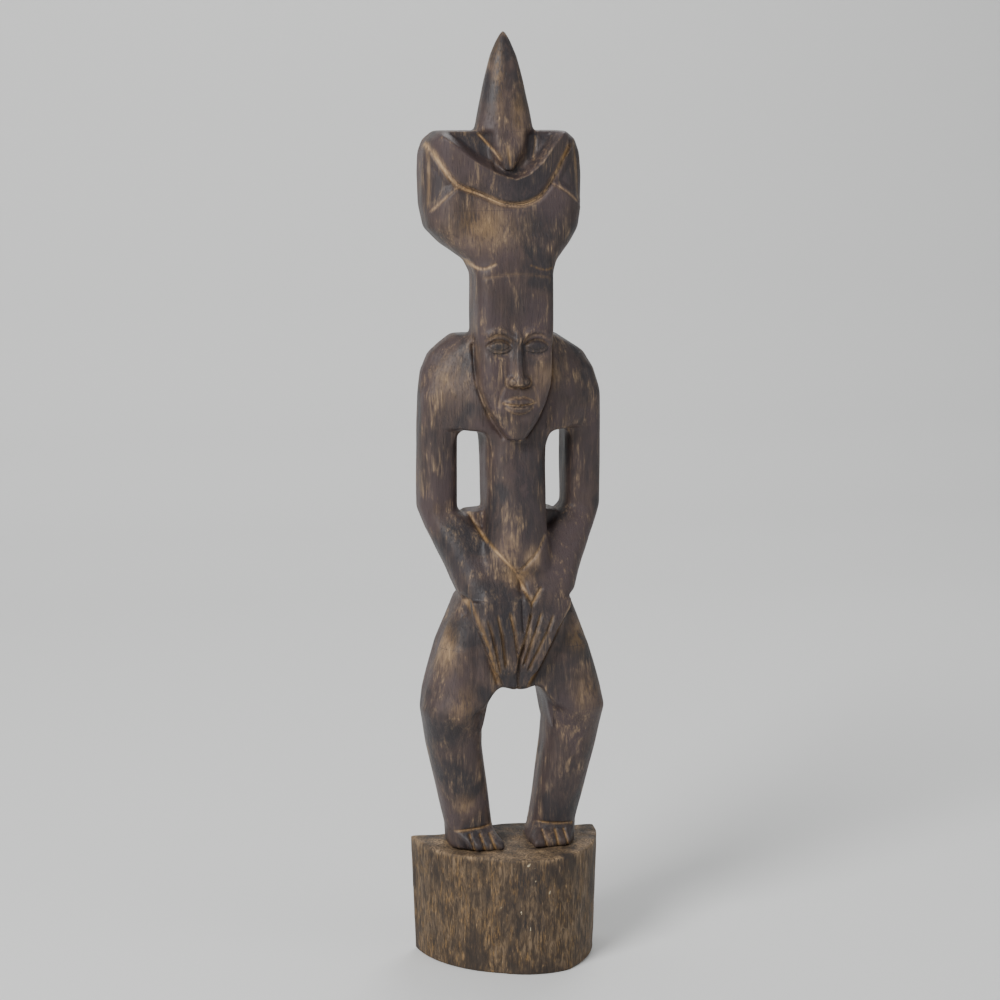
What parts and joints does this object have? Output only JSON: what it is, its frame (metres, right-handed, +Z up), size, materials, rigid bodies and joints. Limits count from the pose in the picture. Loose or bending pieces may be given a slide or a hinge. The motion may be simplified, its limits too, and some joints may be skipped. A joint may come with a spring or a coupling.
{
  "type": "carved ancestor figure",
  "caption": "Standing ancestor figure carved from a half log: hands folded low over the lap, tall horned headdress, feet on a D-shaped plinth.",
  "frame": {"origin": "middle of the plinth's underside, on the surface that the figure stands on", "axes": "+Z up along the log; -Y the way the figure faces, so the log's flat back is on +Y; +X the figure's left"},
  "size_m": [0.127, 0.07, 0.612],
  "materials": {
    "carved_wood": "hand carved light hardwood, stained dark umber to blue black and rubbed back, so that the cut grooves and worn edges show tan; low satin",
    "plinth_wood": "the same stained wood with rough vertical grain, ochre and tan streaks and small pale chips; dull"
  },
  "bodies": {
    "root": {"belly": "carved_wood", "bonnet": "carved_wood", "chest": "carved_wood", "cranium": "carved_wood", "crescent": "carved_wood", "crotch": "carved_wood", "face": "carved_wood", "hips": "carved_wood", "horn": "carved_wood", "lap": "carved_wood", "left_brow": "carved_wood", "left_eye": "carved_wood", "left_fingers": "carved_wood", "left_foot": "carved_wood", "left_forearm": "carved_wood", "left_hand": "carved_wood", "left_shin": "carved_wood", "left_shoulder": "carved_wood", "left_thigh": "carved_wood", "left_toes": "carved_wood", "left_upper_arm": "carved_wood", "lower_lip": "carved_wood", "neck": "carved_wood", "nose": "carved_wood", "plinth": "plinth_wood", "right_brow": "carved_wood", "right_eye": "carved_wood", "right_fingers": "carved_wood", "right_foot": "carved_wood", "right_forearm": "carved_wood", "right_hand": "carved_wood", "right_shin": "carved_wood", "right_shoulder": "carved_wood", "right_thigh": "carved_wood", "right_toes": "carved_wood", "right_upper_arm": "carved_wood", "upper_lip": "carved_wood"}
  },
  "joints": []
}
